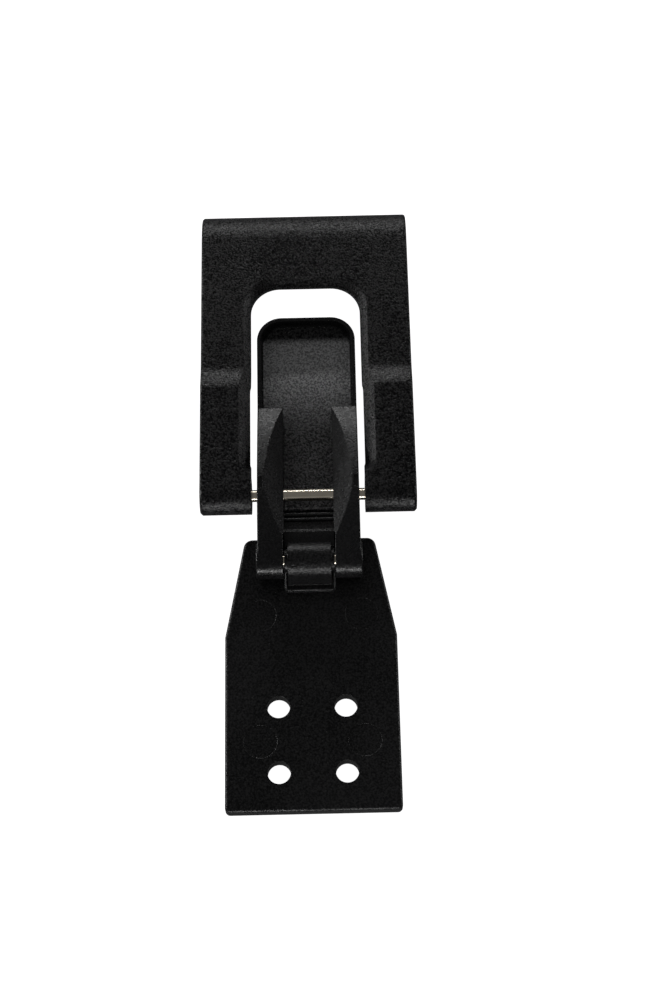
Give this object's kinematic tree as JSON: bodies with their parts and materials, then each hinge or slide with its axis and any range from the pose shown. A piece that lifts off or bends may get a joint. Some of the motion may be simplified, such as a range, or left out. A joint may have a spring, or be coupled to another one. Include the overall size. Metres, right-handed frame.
{
  "type": "over-centre draw latch",
  "caption": "Plastic over-centre draw latch: a screw plate, a scooped lever and a U-shaped hasp with a rolled hook, joined by steel pins.",
  "frame": {"origin": "centre of the four mounting holes, on the back face of the plate", "axes": "+X across the latch, +Y along the plate towards the hook, +Z out of the mounting surface"},
  "size_m": [0.0628, 0.1895, 0.0178],
  "materials": {
    "black_plastic": "fine spark grain, satin",
    "black_plastic_lever": "smooth cheeks and grained scoop, satin",
    "black_plastic_hasp": "fine spark grain, satin",
    "steel": "ground, bright"
  },
  "bodies": {
    "base": {"base_plate": "black_plastic", "hinge_pin": "steel"},
    "lever": {"lever": "black_plastic_lever"},
    "link": {"link_pin": "steel"},
    "hasp": {"hasp": "black_plastic_hasp"}
  },
  "joints": [
    {"name": "lever_hinge", "type": "hinge", "parent": "base", "child": "lever", "pos_m": [0, 0.051, 0.0112], "axis": [1, 0, 0], "range_deg": [0, 180]},
    {"name": "link_turn", "type": "hinge", "parent": "lever", "child": "link", "pos_m": [0, 0.071, 0.0124], "axis": [1, 0, 0], "range_deg": [-180, 0]},
    {"name": "hasp_swing", "type": "hinge", "parent": "link", "child": "hasp", "pos_m": [0, 0.071, 0.0124], "axis": [1, 0, 0], "range_deg": [0, 150]}
  ],
  "couplings": [
    {"joint": "link_turn", "follows": "lever_hinge", "ratio": -1}
  ]
}
